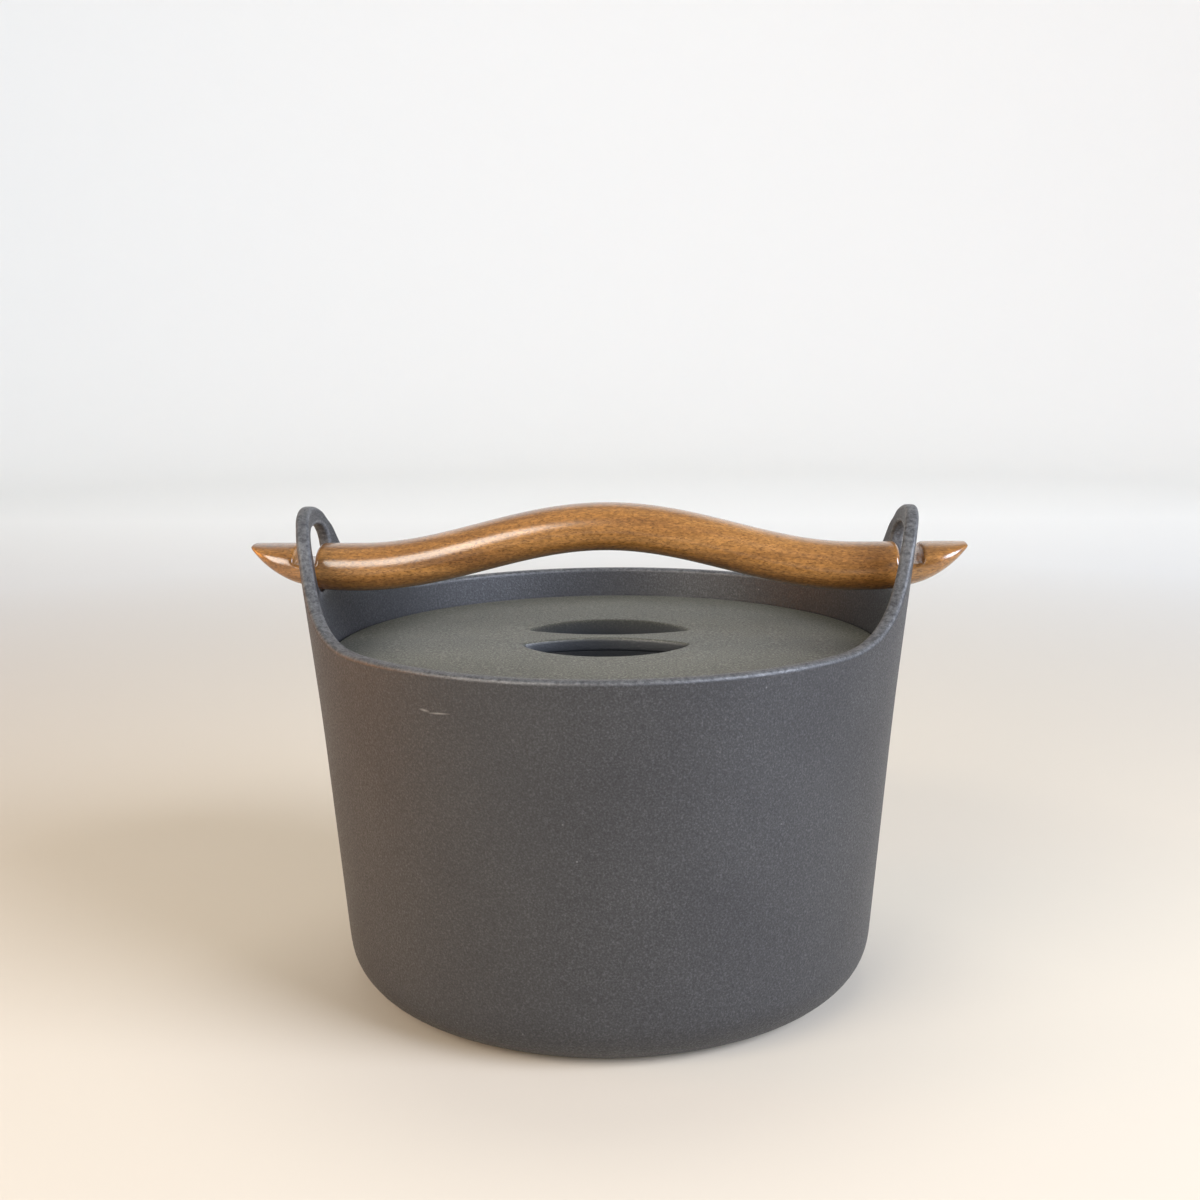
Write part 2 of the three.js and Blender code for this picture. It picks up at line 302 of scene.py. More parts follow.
# %% Spin, open and lift the wall
# The layer "worn" marks the lip and the edges of the holes, which hands and cloths rub.
HOLE_ROUNDING = 1.1 * MM
HOLE_ROUNDING_STEPS = 3


def in_block(face):
    """A face of the level wall that lies where an ear's hole will be."""
    middle = face.calc_center_median()
    across = EAR_REACH * middle.y / math.hypot(middle.x, middle.y)
    return LEVEL_ROWS[1] < middle.z < LEVEL_ROWS[2] and abs(across) < BLOCK_HALF


def lift(vert):
    """Carry a vertex of the level wall to its place under the outline of the rim."""
    inset = outer_radius(vert.co.z) - math.hypot(vert.co.x, vert.co.y)
    across = EAR_REACH * vert.co.y / math.hypot(vert.co.x, vert.co.y)
    if vert.co.z <= LEVEL_ROWS[-1] + SAME_PLACE:
        height = float(np.interp(vert.co.z, LEVEL_ROWS, kept_rows(across)))
    else:
        top, slope = rim(across)
        height = top - (RIM_HEIGHT - vert.co.z) * math.hypot(1, slope)
    across, height = ease_to_hole(across, height)
    radius = outer_radius(height) - inset
    side = min(max(across / EAR_REACH, -1), 1)
    along = math.copysign(math.sqrt(1 - side * side), vert.co.x)
    vert.co = (radius * along, radius * side, height)


bm = bmesh.new()
worn = bm.verts.layers.float.new("worn")
spin_profile(bm, pot_profile(), COLUMNS)
for vert in bm.verts:
    turn = math.atan2(vert.co.y, vert.co.x)
    vert.co.rotate(Matrix.Rotation(gathered(turn) - turn, 3, "Z"))
bmesh.ops.delete(bm, geom=[face for face in bm.faces if in_block(face)], context="FACES")
for vert in bm.verts:
    if vert.co.z > LEVEL_ROWS[-1] + SAME_PLACE:
        vert[worn] = 1
    if vert.co.z > WARP_FOOT:
        lift(vert)
hole_edges = [edge for edge in bm.edges if edge.is_boundary]
for side in (-1, 1):
    bmesh.ops.bridge_loops(bm, edges=[edge for edge in hole_edges if edge.verts[0].co.x * side > 0])
bmesh.ops.recalc_face_normals(bm, faces=bm.faces)
for vert in round_edges(bm, hole_edges, HOLE_ROUNDING, HOLE_ROUNDING_STEPS):
    vert[worn] = 1
pot = finish_piece("pot_casting", bm, "pot", "pot")
smooth_skin(pot, "even skin")

# %% [markdown]
# ## The enamel lining
#
# Inside, the pot is coated with a light glassy enamel up to the ledge. On the real pot it is a
# fused layer under a millimetre thick. A second material on the pot's inner faces could stand for
# it, but the frame has a node for the coat, so it is a thin closed shell: the inside profile is
# followed upwards, stepped in by the thickness of the coat, and followed down again.

# %% Lining
FIT = 0.3 * MM
COAT = 0.8 * MM
LINING_COLUMNS = 144
bm = bmesh.new()
spin_profile(bm, hollow(FIT) + hollow(FIT + COAT)[::-1], LINING_COLUMNS)
lining = finish_piece("enamel_coat", bm, "pot", "enamel_lining")

# %% [markdown]
# ## The lid
#
# The lid is a slightly domed plate with a bowl in its middle, and a waisted bar bridges the bowl so
# that a finger or the tip of the handle can hook under it. The bar could be a piece of its own that
# is joined on, but the real lid is one casting. So it is spun as two closed skins: the outside of
# the lid, and the hollow of the bowl with a flat roof under the bar. Two pockets are then taken out
# of both skins and their edges bridged, which joins them into one.

# %% Profiles of the lid
LID_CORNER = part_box("lid")[1]
CROWN = LID_CORNER.z
LID_RADIUS = LID_CORNER.x
LID_DOME = 2.8 * MM
LID_THICKNESS = 5 * MM
LID_EDGE_ROUNDING = 1.2 * MM
BOWL_RADIUS = 31.5 * MM
BOWL_DEPTH = 17 * MM
BOWL_WALL = 4.5 * MM
BAR_THICKNESS = 4.8 * MM
ROOF = CROWN - BAR_THICKNESS
BALL_RADIUS = (BOWL_RADIUS ** 2 + BOWL_DEPTH ** 2) / (2 * BOWL_DEPTH)
BALL_MIDDLE = CROWN - BOWL_DEPTH + BALL_RADIUS
ROOF_RADIUS = math.sqrt(BALL_RADIUS ** 2 - (BALL_MIDDLE - ROOF) ** 2)
BAR_WAIST = 6.4 * MM
BAR_FLARE = 8.8 * MM
BAR_REACH = math.sqrt(BOWL_RADIUS ** 2 - (BAR_WAIST / 2 + BAR_FLARE) ** 2)
BAR_SWEEP = (BAR_REACH ** 2 + BAR_FLARE ** 2) / (2 * BAR_FLARE)
BAR_MIDDLE = BAR_WAIST / 2 + BAR_SWEEP
BAR_POWER = BAR_MIDDLE ** 2 - BAR_SWEEP ** 2
LID_COLUMNS = 96
TIP_COLUMNS = 6
TIP_TURN = TIP_COLUMNS * 2 * math.pi / LID_COLUMNS
CORE_ROWS = 2
POCKET_ROWS = 6
PLATE_ROWS = 10
BALL_STEPS = 10
FILLET = 4 * MM


def bar_radius(turn):
    """Distance from the lid's middle to the side of the bar, in a direction."""
    reach = BAR_MIDDLE * math.sin(turn)
    return reach - math.sqrt(max(reach ** 2 - BAR_POWER, 0))


def bar_turn(radius):
    """Direction in which the side of the bar lies, at a distance from the lid's middle."""
    return math.asin((radius ** 2 + BAR_POWER) / (2 * radius * BAR_MIDDLE))


CORE = bar_radius(TIP_TURN)


def dome(radius):
    """Height of the lid's top at a distance from its middle."""
    return CROWN - LID_DOME * (radius / LID_RADIUS) ** 2


def pocket_rows(mouth):
    """Distances from the lid's middle through the core of the bar to the mouth of the pockets."""
    return [*np.linspace(0, CORE, CORE_ROWS + 1), *np.linspace(CORE, mouth, POCKET_ROWS + 1)[1:]]


def lid_profile():
    """From the middle of the top over the edge, along the underside and round the bowl's outside."""
    shoulder = LID_RADIUS - LID_EDGE_ROUNDING
    rows = pocket_rows(BOWL_RADIUS) + list(np.linspace(BOWL_RADIUS, shoulder, PLATE_ROWS + 1)[1:-1])
    top = [(radius, dome(radius)) for radius in rows]
    edge_height = dome(LID_RADIUS) - LID_EDGE_ROUNDING
    top += arc(shoulder, edge_height, LID_EDGE_ROUNDING, 90, 0, LIP_STEPS)
    foot_radius = LID_RADIUS - UPPER_TAPER * LID_THICKNESS
    foot_height = dome(LID_RADIUS) - LID_THICKNESS
    shoulder = foot_radius - LID_EDGE_ROUNDING
    top += arc(shoulder, foot_height + LID_EDGE_ROUNDING, LID_EDGE_ROUNDING, 0, -90, LIP_STEPS)
    ball = BALL_RADIUS + BOWL_WALL
    meet = math.sqrt(ball ** 2 - (BALL_MIDDLE - CROWN + LID_THICKNESS) ** 2)
    under = np.linspace(shoulder, meet + FILLET, PLATE_ROWS)[1:]
    top += [(radius, dome(radius) - LID_THICKNESS) for radius in under]
    start = -math.degrees(math.acos((meet - FILLET) / ball))
    return top + arc(0, BALL_MIDDLE, ball, start, -90, BALL_STEPS)


def bowl_profile():
    """Hollow of the bowl, from the middle of its flat roof round to its bottom."""
    roof = [(radius, ROOF) for radius in pocket_rows(ROOF_RADIUS)[:-1]]
    start = -math.degrees(math.acos(ROOF_RADIUS / BALL_RADIUS))
    return roof + arc(0, BALL_MIDDLE, BALL_RADIUS, start, -90, BALL_STEPS)


print("roof of the bowl", round(ROOF_RADIUS / MM, 1), "mm, core of the bar", round(CORE / MM, 1), "mm")

# %% Open the two pockets beside the bar
# This layer marks the bowl and the walls of the pockets, where painted shade keeps the iron darker than
# the plate.
POCKET_ROUNDING = 0.9 * MM
POCKET_ROUNDING_STEPS = 3


def pocket_mouth(height):
    """Radius of the pocket in the skin at this height: the top, the roof, or none."""
    if height > CROWN - BAR_THICKNESS / 2:
        return BOWL_RADIUS
    return ROOF_RADIUS if abs(height - ROOF) < SAME_PLACE else 0


def in_pocket(face):
    """A face of the top or of the roof that lies where a pocket will be."""
    middle = face.calc_center_median()
    radius = math.hypot(middle.x, middle.y)
    beside = math.atan2(abs(middle.y), abs(middle.x)) > TIP_TURN
    return beside and CORE < radius < pocket_mouth(middle.z)


def follow_bar(vert):
    """Bend the rows and columns round the middle of the lid to the waisted sides of the bar."""
    radius = math.hypot(vert.co.x, vert.co.y)
    on_top = vert.co.z > ROOF + SAME_PLACE
    if not SAME_PLACE < radius < pocket_mouth(vert.co.z) + SAME_PLACE:
        return
    turn = math.atan2(abs(vert.co.y), abs(vert.co.x))
    quarter = math.pi / 2
    if turn <= TIP_TURN + SAME_PLACE:
        turn = bar_turn(max(radius, CORE)) * (turn / TIP_TURN) ** 2
    elif radius <= CORE + SAME_PLACE:
        radius *= bar_radius(turn) / CORE
    else:
        turn = quarter - (quarter - turn) * (quarter - bar_turn(radius)) / (quarter - TIP_TURN)
    vert.co.x = math.copysign(radius * math.cos(turn), vert.co.x)
    vert.co.y = math.copysign(radius * math.sin(turn), vert.co.y)
    vert.co.z = dome(radius) if on_top else ROOF


def ends_the_roof(vert):
    """A vertex where the flat roof meets the round bowl, which needs no bevel."""
    far = math.hypot(vert.co.x, vert.co.y) > ROOF_RADIUS - SAME_PLACE
    return far and abs(vert.co.z - ROOF) < SAME_PLACE


bm = bmesh.new()
deep = bm.verts.layers.float.new("deep")
spin_profile(bm, lid_profile(), LID_COLUMNS)
plate_verts = set(bm.verts)
spin_profile(bm, bowl_profile(), LID_COLUMNS)
for vert in bm.verts:
    vert[deep] = vert not in plate_verts
bmesh.ops.delete(bm, geom=[face for face in bm.faces if in_pocket(face)], context="FACES")
for vert in bm.verts:
    follow_bar(vert)
pocket_edges = [edge for edge in bm.edges if edge.is_boundary]
middle_of = {edge: (edge.verts[0].co + edge.verts[1].co) / 2 for edge in pocket_edges}
for side in (-1, 1):
    bmesh.ops.bridge_loops(bm, edges=[edge for edge in pocket_edges if middle_of[edge].y * side > 0])
bmesh.ops.recalc_face_normals(bm, faces=bm.faces)
crisp = [edge for edge in pocket_edges if not all(ends_the_roof(vert) for vert in edge.verts)]
# The painted shade fades in over the rounded edges of the pockets, growing with depth below the top.
for vert in round_edges(bm, crisp, POCKET_ROUNDING, POCKET_ROUNDING_STEPS):
    vert[deep] = min((dome(math.hypot(vert.co.x, vert.co.y)) - vert.co.z) / POCKET_ROUNDING, 1)
lid = finish_piece("lid_casting", bm, "lid", "lid")
smooth_skin(lid, "even skin")

# %% [markdown]
# ## The handle
#
# The handle is one length of wood sawn to a bow, rounded with a spokeshave and sanded. It ends in
# two beaks, and a notch is cut from above where it crosses each ear. A curve with a bevel could give
# the bow, but its section keeps one shape. Here one ring is extruded from station to station, so the
# section can swell and taper, and the notches are cut afterwards with a plane, as a saw would, with
# their edges eased.

# %% Side view and plan of the handle
HANDLE_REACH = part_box("handle")[1].x
HANDLE_HEIGHT = 16.5 * MM
HANDLE_HALF = 11.2 * MM
BOW_RISE = 14 * MM
SHOULDER_RUN = 14 * MM
BEAK_LENGTH = 16.4 * MM
NOTCH_FLOOR = 146.68 * MM
NOTCH_DEPTH = 6 * MM
NOTCH_WIDTH = 7.16 * MM
NOTCH_OUTER = HANDLE_REACH - BEAK_LENGTH
NOTCH_INNER = NOTCH_OUTER - NOTCH_WIDTH
BOW_REACH = NOTCH_INNER - SHOULDER_RUN
SHOULDER_TOP = NOTCH_FLOOR + NOTCH_DEPTH
NOSE_HEIGHT = 1.6 * MM
NOSE_HALF = 4 * MM
NOSE_ROUNDING = 0.7 * MM


def bow(along):
    """Rise and slope of the handle's middle line."""
    share = min(abs(along) / BOW_REACH, 1)
    rise = BOW_RISE * (1 + math.cos(math.pi * share)) / 2
    return rise, BOW_RISE * math.pi * math.sin(math.pi * share) / (2 * BOW_REACH)


def thinned(along, start, full, end):
    """From full to end between a place and the tip, ever faster towards the tip."""
    share = min(max((abs(along) - start) / (HANDLE_REACH - start), 0), 1)
    return full + (end - full) * share ** 3


def section(along):
    """Matrix that carries the ring of half size 1 to its place and size on the handle."""
    rise, slope = bow(along)
    stretch = math.hypot(1, slope)
    top = SHOULDER_TOP - HANDLE_HEIGHT / 2 + rise + HANDLE_HEIGHT / 2 * stretch
    tall = thinned(along, BOW_REACH, HANDLE_HEIGHT, NOSE_HEIGHT) * stretch / 2
    half = thinned(along, NOTCH_OUTER, HANDLE_HALF, NOSE_HALF)
    into_nose = max(abs(along) - HANDLE_REACH + NOSE_ROUNDING, 0)
    inset = NOSE_ROUNDING - math.sqrt(max(NOSE_ROUNDING ** 2 - into_nose ** 2, 0))
    size = Matrix.Diagonal((1, half - inset, tall - inset, 1))
    return Matrix.Translation((along, 0, top - tall)) @ size


print("handle", round(2 * HANDLE_REACH / MM, 1), "mm long, bow over", round(2 * BOW_REACH / MM, 1), "mm")

# %% Extrude the ring along the handle
# The ring is coarse enough to leave room for the eased edges of the notches, and one of its places
# lies level with the floor of a notch. A subdivision modifier smooths the rest.
RING = 28
HANDLE_SQUARENESS = 2.3
BOW_STATIONS = 45
SHOULDER_STATIONS = 7
BEAK_STATIONS = 8
NOSE_STATIONS = 5
half_way = list(np.linspace(0, BOW_REACH, BOW_STATIONS))
half_way += list(np.linspace(BOW_REACH, NOTCH_INNER, SHOULDER_STATIONS)[1:])
half_way += list(np.linspace(NOTCH_OUTER, HANDLE_REACH - NOSE_ROUNDING, BEAK_STATIONS))
nose_turns = np.linspace(0, math.pi / 2, NOSE_STATIONS)[1:]
half_way += [HANDLE_REACH - NOSE_ROUNDING * (1 - math.sin(turn)) for turn in nose_turns]
stations = [-along for along in reversed(half_way[1:])] + half_way


def squared(share):
    """Place on a squared oval, from the cosine or sine of the angle there."""
    return math.copysign(abs(share) ** (2 / HANDLE_SQUARENESS), share)


bm = bmesh.new()
ring = bmesh.ops.create_circle(bm, segments=RING, radius=1)["verts"]
for vert in ring:
    vert.co = (0, squared(vert.co.x), squared(vert.co.y))
bmesh.ops.transform(bm, matrix=section(stations[0]), verts=ring)
ring_edges = list(bm.edges)
for before, along in zip(stations, stations[1:]):
    made = bmesh.ops.extrude_edge_only(bm, edges=ring_edges)["geom"]
    ring = {item for item in made if isinstance(item, bmesh.types.BMVert)}
    drawn = [item for item in made if isinstance(item, bmesh.types.BMEdge)]
    ring_edges = [edge for edge in drawn if set(edge.verts) <= ring]
    bmesh.ops.transform(bm, matrix=section(along) @ section(before).inverted(), verts=list(ring))
bmesh.ops.holes_fill(bm, edges=bm.edges, sides=0)
print("handle skin of", len(stations), "rings and", len(bm.faces), "faces")

# %% Cut the notches
NOTCH_EASING = 1.6 * MM
NOTCH_EASING_STEPS = 4
NOTCH_CORNER = 0.7 * MM
NOTCH_CORNER_STEPS = 2
NEAR_FLOOR = 0.03 * MM


def in_notch(face, side):
    """A face of the handle that lies between the two walls of a notch."""
    return NOTCH_INNER < face.calc_center_median().x * side < NOTCH_OUTER


notch_faces = []
for side in (-1, 1):
    between = [face for face in bm.faces if in_notch(face, side)]
    cut = {item for face in between for item in (face, *face.edges, *face.verts)}
    bmesh.ops.bisect_plane(
        bm, geom=list(cut), plane_co=(0, 0, NOTCH_FLOOR), plane_no=(0, 0, 1), dist=NEAR_FLOOR
    )
    between = [face for face in bm.faces if in_notch(face, side)]
    over = [face for face in between if face.calc_center_median().z > NOTCH_FLOOR]
    bmesh.ops.delete(bm, geom=over, context="FACES")
    open_edges = [edge for edge in bm.edges if edge.is_boundary]
    sides = [edge for edge in open_edges if abs(edge.verts[0].co.x - edge.verts[1].co.x) > SAME_PLACE]
    notch_faces += bmesh.ops.bridge_loops(bm, edges=sides)["faces"]
    open_edges = [edge for edge in bm.edges if edge.is_boundary]
    notch_faces += bmesh.ops.holes_fill(bm, edges=open_edges, sides=0)["faces"]
bmesh.ops.recalc_face_normals(bm, faces=bm.faces)
edges = {edge for face in notch_faces for edge in face.edges}
corners = [edge for edge in edges if all(face in notch_faces for face in edge.link_faces)]
brims = [edge for edge in edges if edge not in corners]
round_edges(bm, brims, NOTCH_EASING, NOTCH_EASING_STEPS)
round_edges(bm, [edge for edge in corners if edge.is_valid], NOTCH_CORNER, NOTCH_CORNER_STEPS)
handle = finish_piece("wooden_handle", bm, "handle", "handle")
smooth_skin(handle, "sanded skin")

# %% [markdown]
# ## Materials
#
# A material could be painted on an unwrapped mesh, but cast iron and wood are the same all through.
# So every pattern is drawn on Object coordinates or follows a layer of the mesh, and stays on the
# piece when the piece moves. One function turns an sRGB colour to linear, one adds a node with its
# settings and links, and the scale of each pattern is worked out from a size in millimetres.

# %% Node helpers
MIX_A, MIX_B, MIX_OUT = 6, 7, 2


def linear(code):
    """Linear colour of an sRGB hex code."""
    parts = [int(code[i:i + 2], 16) / 255 for i in (1, 3, 5)]
    return (*(p / 12.92 if p <= 0.04045 else ((p + 0.055) / 1.055) ** 2.4 for p in parts), 1)


def add_node(tree, kind, inputs=(), stops=(), **settings):
    """Add a node. Settings are its properties, inputs its values or links, and stops fill a ramp."""
    made = tree.nodes.new(kind)
    for name, value in settings.items():
        setattr(made, name, value)
    for name, value in dict(inputs).items():
        if isinstance(value, bpy.types.NodeSocket):
            tree.links.new(value, made.inputs[name])
        else:
            made.inputs[name].default_value = value
    for place, (position, value) in enumerate(stops):
        points = made.color_ramp.elements
        point = points[place] if place < len(points) else points.new(position)
        point.position = position
        point.color = value if isinstance(value, tuple) else (value, value, value, 1)
    return made


def per(millimetres):
    """Texture scale whose features are about this size."""
    return 1 / (millimetres * MM)


def new_material(name):
    """An empty material with its surface shader linked to the output."""
    material = bpy.data.materials.new(name)
    material.use_nodes = True
    tree = material.node_tree
    tree.nodes.clear()
    surface = add_node(tree, "ShaderNodeBsdfPrincipled")
    add_node(tree, "ShaderNodeOutputMaterial", {"Surface": surface.outputs["BSDF"]})
    place = add_node(tree, "ShaderNodeTexCoord").outputs["Object"]
    return material, tree, surface, place


print("patterns of 1 mm have a scale of", per(1))

# %% [markdown]
# ## Cast iron
#
# The real skin is grey iron as it left a mould of fine sand, under a dull black finish. One flat grey
# would look like plastic, because the sand leaves a tooth that catches the light in points. So noise
# of several sizes draws the tooth, the shallow pits and the cloudy patches. The layer "worn" of the pot
# says where hands rub the iron paler and smoother, and a layer of the lid marks its bowl and
# pockets, where painted shade darkens the iron.

# %% Skin as the sand left it
# Grains of moulding sand are about 0.3 mm. That is too fine to show in the render, so the tooth is
# drawn about twice as coarse.
SAND_MM = 0.65
PIT_MM = 1.5
CLOUD_MM = 40
# Dark tone of the painted shade in the bowl and the pockets of the lid.
PAINTED_POCKET_SHADE = "#15181c"


def sand_skin(tree, place, shade, tone):
    """Tooth, pits and colour of the skin as it left the mould, with painted shade in the lid's pockets.
    """
    cloud = add_node(tree, "ShaderNodeTexNoise", {"Vector": place, "Scale": per(CLOUD_MM), "Detail": 3})
    sand = add_node(
        tree, "ShaderNodeTexNoise",
        {"Vector": place, "Scale": per(SAND_MM), "Detail": 3, "Roughness": 0.6},
    )
    pit = add_node(
        tree, "ShaderNodeTexNoise",
        {"Vector": place, "Scale": per(PIT_MM), "Detail": 4, "Roughness": 0.7},
    )
    body = add_node(
        tree, "ShaderNodeValToRGB", {"Fac": cloud.outputs["Fac"]},
        [(0.3, linear(shade)), (0.7, linear(tone))],
    )
    grain = add_node(
        tree, "ShaderNodeValToRGB", {"Fac": sand.outputs["Fac"]},
        [(0.34, 0.55), (0.54, 0.95), (0.72, 2.1)],
    )
    toothed = add_node(
        tree, "ShaderNodeMix", {0: 1.0, MIX_A: body.outputs["Color"], MIX_B: grain.outputs["Color"]},
        data_type="RGBA", blend_type="MULTIPLY",
    )
    # Painted shade: the bowl and the pocket walls of the lid are mixed towards the dark tone.
    pocket_shade_mask = add_node(tree, "ShaderNodeAttribute", attribute_name="deep").outputs["Fac"]
    skin = add_node(
        tree, "ShaderNodeMix",
        {0: pocket_shade_mask, MIX_A: toothed.outputs[MIX_OUT], MIX_B: linear(PAINTED_POCKET_SHADE)},
        data_type="RGBA",
    )
    return sand.outputs["Fac"], pit.outputs["Fac"], skin.outputs[MIX_OUT]


print("tooth of", SAND_MM, "mm, pits of", PIT_MM, "mm, clouds of", CLOUD_MM, "mm")

# %% Specks and rubbed places
SPECK_SPACING_MM = 4.4


def specks(tree, place):
    """Mask of small pale specks, in a few of the cells that they could lie in."""
    cell = add_node(tree, "ShaderNodeTexVoronoi", {"Vector": place, "Scale": per(SPECK_SPACING_MM)})
    dot = add_node(
        tree, "ShaderNodeValToRGB", {"Fac": cell.outputs["Distance"]}, [(0.03, 1.0), (0.09, 0.0)]
    )
    rare = add_node(
        tree, "ShaderNodeValToRGB", {"Fac": cell.outputs["Color"]}, [(0.78, 0.0), (0.9, 0.7)]
    )
    few = {0: dot.outputs["Color"], 1: rare.outputs["Color"]}
    return add_node(tree, "ShaderNodeMath", few, operation="MULTIPLY").outputs[0]


def rubbed_places(tree, place, pit, marks):
    """Mask of the worn edges, broken up by the pits, and of single scratches."""
    edge = add_node(tree, "ShaderNodeAttribute", attribute_name="worn").outputs["Fac"]
    patchy = add_node(tree, "ShaderNodeValToRGB", {"Fac": pit}, [(0.38, 0.05), (0.62, 0.45)])
    worn_edge = {0: edge, 1: patchy.outputs["Color"]}
    mask = add_node(tree, "ShaderNodeMath", worn_edge, operation="MULTIPLY").outputs[0]
    for middle, size, turn in marks:
        spot = {"Vector": place, "Location": middle, "Rotation": turn, "Scale": size}
        near = add_node(tree, "ShaderNodeMapping", spot, vector_type="TEXTURE").outputs[0]
        dent = add_node(tree, "ShaderNodeTexGradient", {"Vector": near}, gradient_type="SPHERICAL")
        either = {0: mask, 1: dent.outputs["Fac"]}
        mask = add_node(tree, "ShaderNodeMath", either, operation="MAXIMUM").outputs[0]
    return mask


print("room for a speck every", SPECK_SPACING_MM, "mm")

# %% Cast iron of the pot and the lid
# Sand cast grey iron gives the eye an even dark skin with points of light on its tooth, soft cloudy
# patches, a few pale specks, and paler, smoother iron where edges are rubbed.
HOLLOW_ROUGHNESS = 0.6
GRAIN_ROUGHNESS = 0.4
RUBBED_SMOOTHER = -0.14
TOOTH_DEPTH = 0.16 * MM


def cast_iron(name, shade, tone, rubbed, marks=()):
    """Iron of two close tones in clouds, with a paler one for specks and rubbed places."""
    material, tree, surface, place = new_material(name)
    sand, pit, skin = sand_skin(tree, place, shade, tone)
    wear = rubbed_places(tree, place, pit, marks)
    for mask in (specks(tree, place), wear):
        paler = {0: mask, MIX_A: skin, MIX_B: linear(rubbed)}
        skin = add_node(tree, "ShaderNodeMix", paler, data_type="RGBA").outputs[MIX_OUT]
    sanded = add_node(
        tree, "ShaderNodeMapRange",
        {
            "Value": sand, "From Min": 0.3, "From Max": 0.7,
            "To Min": HOLLOW_ROUGHNESS, "To Max": GRAIN_ROUGHNESS,
        },
    )
    smoother = {0: wear, 1: RUBBED_SMOOTHER, 2: sanded.outputs[0]}
    dull = add_node(tree, "ShaderNodeMath", smoother, operation="MULTIPLY_ADD")
    relief = add_node(tree, "ShaderNodeMath", {0: sand, 1: pit}, operation="ADD").outputs[0]
    tooth = add_node(tree, "ShaderNodeBump", {"Height": relief, "Strength": 0.6, "Distance": TOOTH_DEPTH})
    tree.links.new(skin, surface.inputs["Base Color"])
    tree.links.new(dull.outputs[0], surface.inputs["Roughness"])
    tree.links.new(tooth.outputs["Normal"], surface.inputs["Normal"])
    return material


# Two short pale scratches on the left of the front: middle, half size and turn of each.
SCRATCHES = [
    (
        (-46 * MM, -90.1 * MM, 114.9 * MM),
        (4.6 * MM, 4 * MM, 0.4 * MM),
        (0, math.radians(-4), math.radians(-27)),
    ),
    (
        (-50.6 * MM, -87.6 * MM, 115.3 * MM),
        (2.2 * MM, 4 * MM, 0.5 * MM),
        (0, math.radians(5), math.radians(-30)),
    ),
]
pot.data.materials.append(cast_iron("sand cast iron", "#2b2b2d", "#323233", "#7a7a79", SCRATCHES))
# The lid is the same iron as the pot, but its tones are painted lighter and more olive: painted sheen for
# the light its top catches from the bright wall behind.
lid.data.materials.append(cast_iron("lid iron with painted sheen", "#525147", "#5b5a4f", "#7d7d76"))
print("cast iron on", pot.name, "and", lid.name)

# %% [markdown]
# ## Enamel
#
# Vitreous enamel is powdered glass that is fired onto the iron until it flows. A plain glossy white
# would be close, but a fired coat is never quite even, so a soft cloud shifts its tone a little.

# %% Enamel of the lining
# It gives the eye a bright, nearly white glass with a wet gloss and faint clouds.
FIRED_CLOUD_MM = 30
material, tree, surface, place = new_material("vitreous enamel")
cloud = add_node(tree, "ShaderNodeTexNoise", {"Vector": place, "Scale": per(FIRED_CLOUD_MM), "Detail": 2})
glaze = add_node(
    tree, "ShaderNodeValToRGB", {"Fac": cloud.outputs["Fac"]},
    [(0.3, linear("#e4dfd3")), (0.7, linear("#efebe1"))],
)
tree.links.new(glaze.outputs["Color"], surface.inputs["Base Color"])
surface.inputs["Roughness"].default_value = 0.16
lining.data.materials.append(material)
print("enamel on", lining.name)

# %% [markdown]
# ## Lacquered wood
#
# The handle has the look of teak, sawn along its grain, sanded and lacquered. A picture of wood would
# have to be laid round the bow and would show a seam. So noise that is stretched along the handle
# draws the figure through the whole solid, as it lies in a plank, and the coat of the shader gives
# the lacquer.

# %% Wood of the handle
# It gives the eye brown wood with long soft bands, fine fibres and short dark pores, under a clear
# glossy coat that carries the bright reflections. Fibres and pores are finer on the real wood, too
# fine to show in the render, so they are drawn about twice as wide.
BAND_MM = 5
FIBRE_MM = 0.7
PORE_MM = 0.4
GRAIN_STRETCH = 0.045
PORE_STRETCH = 0.35
PORE_DEPTH = 0.05 * MM
PORE_TONE = "#3a1f0d"
material, tree, surface, place = new_material("lacquered teak")
along_grain, along_pore = (
    add_node(tree, "ShaderNodeMapping", {"Vector": place, "Scale": (stretch, 1, 1)}).outputs[0]
    for stretch in (GRAIN_STRETCH, PORE_STRETCH)
)
band = add_node(tree, "ShaderNodeTexNoise", {"Vector": along_grain, "Scale": per(BAND_MM), "Detail": 3})
fibre = add_node(
    tree, "ShaderNodeTexNoise",
    {"Vector": along_pore, "Scale": per(FIBRE_MM), "Detail": 3, "Roughness": 0.6},
)
pore = add_node(tree, "ShaderNodeTexNoise", {"Vector": along_pore, "Scale": per(PORE_MM), "Detail": 1})
timber = add_node(
    tree, "ShaderNodeValToRGB", {"Fac": band.outputs["Fac"]},
    [(0.3, linear("#724b22")), (0.5, linear("#8a5e2c")), (0.72, linear("#9e703b"))],
)
streak = add_node(
    tree, "ShaderNodeValToRGB", {"Fac": fibre.outputs["Fac"]}, [(0.32, 0.7), (0.5, 0.98), (0.68, 1.36)]
)
fibred = add_node(
    tree, "ShaderNodeMix", {0: 1.0, MIX_A: timber.outputs["Color"], MIX_B: streak.outputs["Color"]},
    data_type="RGBA", blend_type="MULTIPLY",
)
open_pore = add_node(
    tree, "ShaderNodeValToRGB", {"Fac": pore.outputs["Fac"]}, [(0.34, 0.5), (0.44, 0.0)]
)
grained = add_node(
    tree, "ShaderNodeMix",
    {0: open_pore.outputs["Color"], MIX_A: fibred.outputs[MIX_OUT], MIX_B: linear(PORE_TONE)},
    data_type="RGBA",
)
dimple = add_node(
    tree, "ShaderNodeBump", {"Height": pore.outputs["Fac"], "Strength": 0.5, "Distance": PORE_DEPTH}
)
tree.links.new(grained.outputs[MIX_OUT], surface.inputs["Base Color"])
tree.links.new(dimple.outputs["Normal"], surface.inputs["Normal"])
tree.links.new(dimple.outputs["Normal"], surface.inputs["Coat Normal"])
